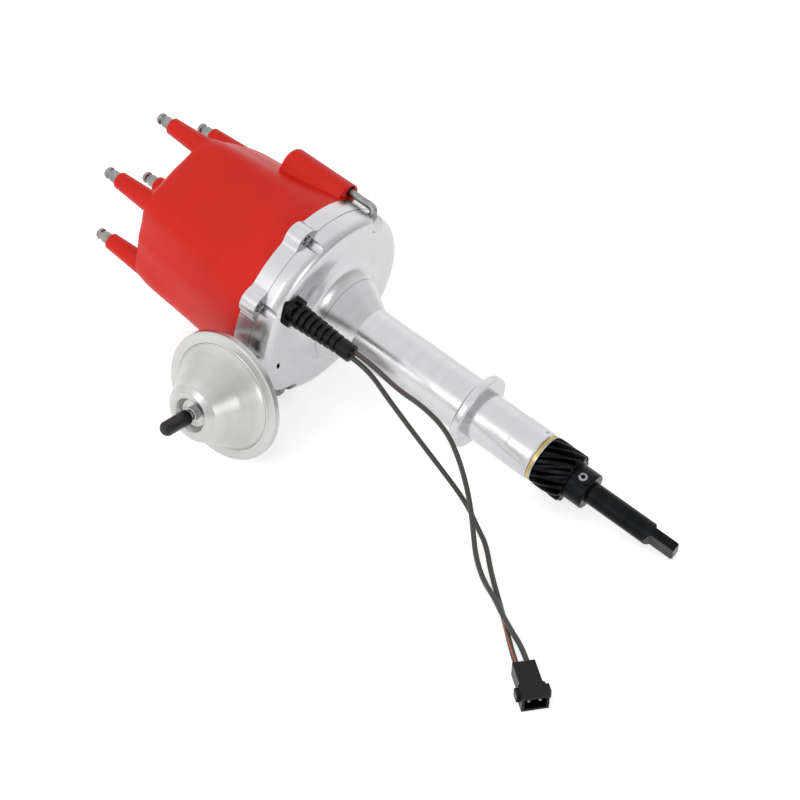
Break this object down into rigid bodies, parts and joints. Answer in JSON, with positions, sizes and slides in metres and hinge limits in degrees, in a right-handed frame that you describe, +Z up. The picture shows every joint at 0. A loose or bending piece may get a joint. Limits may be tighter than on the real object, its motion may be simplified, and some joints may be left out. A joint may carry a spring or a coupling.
{
  "type": "ignition distributor",
  "caption": "Engine ignition distributor with red towered cap, vacuum advance can, machined aluminium housing, helical drive gear and a plugged pair of trigger leads.",
  "frame": {"origin": "on the shaft axis, in the plane of the seat under the hold-down collar", "axes": "+Z up from the bench it lies on, +X level and towards the gear end, so that the shaft dips 12 degrees below +X; the vacuum can points at -Y"},
  "size_m": [0.3859, 0.1913, 0.1319],
  "materials": {
    "cast_aluminium": "bright machined",
    "cap_plastic": "red moulded, satin gloss",
    "terminal_steel": "bright plated",
    "black_steel": "black oxide",
    "shaft_steel": "dark hardened and ground",
    "thrust_brass": "dull brass",
    "bronze": "sintered bronze",
    "plated_steel": "bright zinc plate",
    "spring_steel": "drawn wire",
    "black_nylon": "moulded",
    "lead_cover": "olive black",
    "vinyl": "soft black vinyl",
    "rubber": "fabric reinforced",
    "rotor_plastic": "moulded black",
    "magnet": "grey ferrite",
    "winding": "varnished winding on its bobbin",
    "carbon": "pressed carbon",
    "contact_brass": "stamped brass"
  },
  "bodies": {
    "housing_assembly": {"housing": "cast_aluminium", "upper_bushing": "bronze", "lower_bushing": "bronze", "flange_screws": "plated_steel", "cap": "cap_plastic", "plug_terminals": "terminal_steel", "coil_terminal": "terminal_steel", "brush_spring": "spring_steel", "plate_clip": "spring_steel", "diaphragm": "rubber", "vacuum_spring": "spring_steel", "vacuum_bracket": "plated_steel", "bracket_screws": "plated_steel", "vacuum_dome": "plated_steel", "vacuum_nipple": "black_steel", "strain_relief": "black_nylon", "latch_spring_front": "spring_steel", "latch_spring_rear": "spring_steel", "plug_shell": "black_nylon", "plug_contacts": "terminal_steel", "orange_stripe_lead": "lead_cover", "violet_stripe_lead": "lead_cover"},
    "drive_line": {"shaft": "shaft_steel", "drive_gear": "black_steel", "roll_pin": "spring_steel", "thrust_shim": "plated_steel", "advance_cam": "plated_steel"},
    "thrust_ring": {"thrust_washer": "thrust_brass"},
    "rotor_assembly": {"rotor_sleeve": "plated_steel", "reluctor": "plated_steel", "weight_pins": "spring_steel", "advance_springs": "spring_steel", "rotor": "rotor_plastic", "rotor_screws": "plated_steel", "rotor_blade": "contact_brass"},
    "weight_a": {"advance_weight_a": "plated_steel"},
    "weight_b": {"advance_weight_b": "plated_steel"},
    "pickup_assembly": {"pickup_plate": "plated_steel", "ring_magnet": "magnet", "pickup_coil": "winding", "pole_piece": "plated_steel"},
    "vacuum_link": {"pull_rod": "plated_steel", "diaphragm_plate": "plated_steel"},
    "brush": {"carbon_brush": "carbon"},
    "front_latch_slide": {"latch_washer_front": "plated_steel"},
    "front_latch": {"latch_hook_front": "plated_steel"},
    "rear_latch_slide": {"latch_washer_rear": "plated_steel"},
    "rear_latch": {"latch_hook_rear": "plated_steel"},
    "nipple_cover": {"nipple_cap": "vinyl"}
  },
  "joints": [
    {"name": "shaft_spin", "type": "hinge", "parent": "housing_assembly", "child": "drive_line", "pos_m": [0, 0, 0], "axis": [-0.9773, 0, 0.2118], "continuous": true},
    {"name": "thrust_washer_spin", "type": "hinge", "parent": "housing_assembly", "child": "thrust_ring", "pos_m": [0, 0, 0], "axis": [-0.9773, 0, 0.2118], "continuous": true},
    {"name": "spark_advance", "type": "hinge", "parent": "drive_line", "child": "rotor_assembly", "pos_m": [0, 0, 0], "axis": [-0.9773, 0, 0.2118], "range_deg": [0, 12], "stiffness_Nm_per_rad": 0.3, "deforming": ["advance_springs"]},
    {"name": "weight_a_swing", "type": "hinge", "parent": "rotor_assembly", "child": "weight_a", "pos_m": [-0.14957, -0.02189, 0.01806], "axis": [0.9773, 0, -0.2118], "range_deg": [0, 24]},
    {"name": "weight_b_swing", "type": "hinge", "parent": "rotor_assembly", "child": "weight_b", "pos_m": [-0.14362, 0.02189, 0.04549], "axis": [0.9773, 0, -0.2118], "range_deg": [0, 24]},
    {"name": "pickup_swing", "type": "hinge", "parent": "housing_assembly", "child": "pickup_assembly", "pos_m": [0, 0, 0], "axis": [-0.9773, 0, 0.2118], "range_deg": [0, 10], "stiffness_Nm_per_rad": 0.3},
    {"name": "vacuum_pull", "type": "slide", "parent": "housing_assembly", "child": "vacuum_link", "axis": [0.027, -0.9918, 0.1247], "range_m": [0, 0.00525], "deforming": ["vacuum_spring", "diaphragm"]},
    {"name": "brush_press", "type": "slide", "parent": "housing_assembly", "child": "brush", "axis": [-0.9773, 0, 0.2118], "range_m": [0, 0.0012], "stiffness_N_per_m": 200, "deforming": ["brush_spring"]},
    {"name": "front_latch_press", "type": "slide", "parent": "housing_assembly", "child": "front_latch_slide", "axis": [0.9773, 0, -0.2118], "range_m": [0, 0.003], "stiffness_N_per_m": 1500, "deforming": ["latch_spring_front"]},
    {"name": "front_latch_turn", "type": "hinge", "parent": "front_latch_slide", "child": "front_latch", "pos_m": [-0.13527, 0.03003, 0.084], "axis": [0.9773, 0, -0.2118], "range_deg": [0, 90]},
    {"name": "rear_latch_press", "type": "slide", "parent": "housing_assembly", "child": "rear_latch_slide", "axis": [0.9773, 0, -0.2118], "range_m": [0, 0.003], "stiffness_N_per_m": 1500, "deforming": ["latch_spring_rear"]},
    {"name": "rear_latch_turn", "type": "hinge", "parent": "rear_latch_slide", "child": "rear_latch", "pos_m": [-0.15792, -0.03003, -0.02045], "axis": [0.9773, 0, -0.2118], "range_deg": [0, 90]},
    {"name": "nipple_cap_pull", "type": "slide", "parent": "housing_assembly", "child": "nipple_cover", "axis": [0.027, -0.9918, 0.1247], "range_m": [0, 0.018]}
  ],
  "couplings": [
    {"joint": "weight_a_swing", "follows": "spark_advance", "ratio": 2},
    {"joint": "weight_b_swing", "follows": "spark_advance", "ratio": 2},
    {"joint": "vacuum_pull", "follows": "pickup_swing", "m_per_rad": 0.02981}
  ]
}
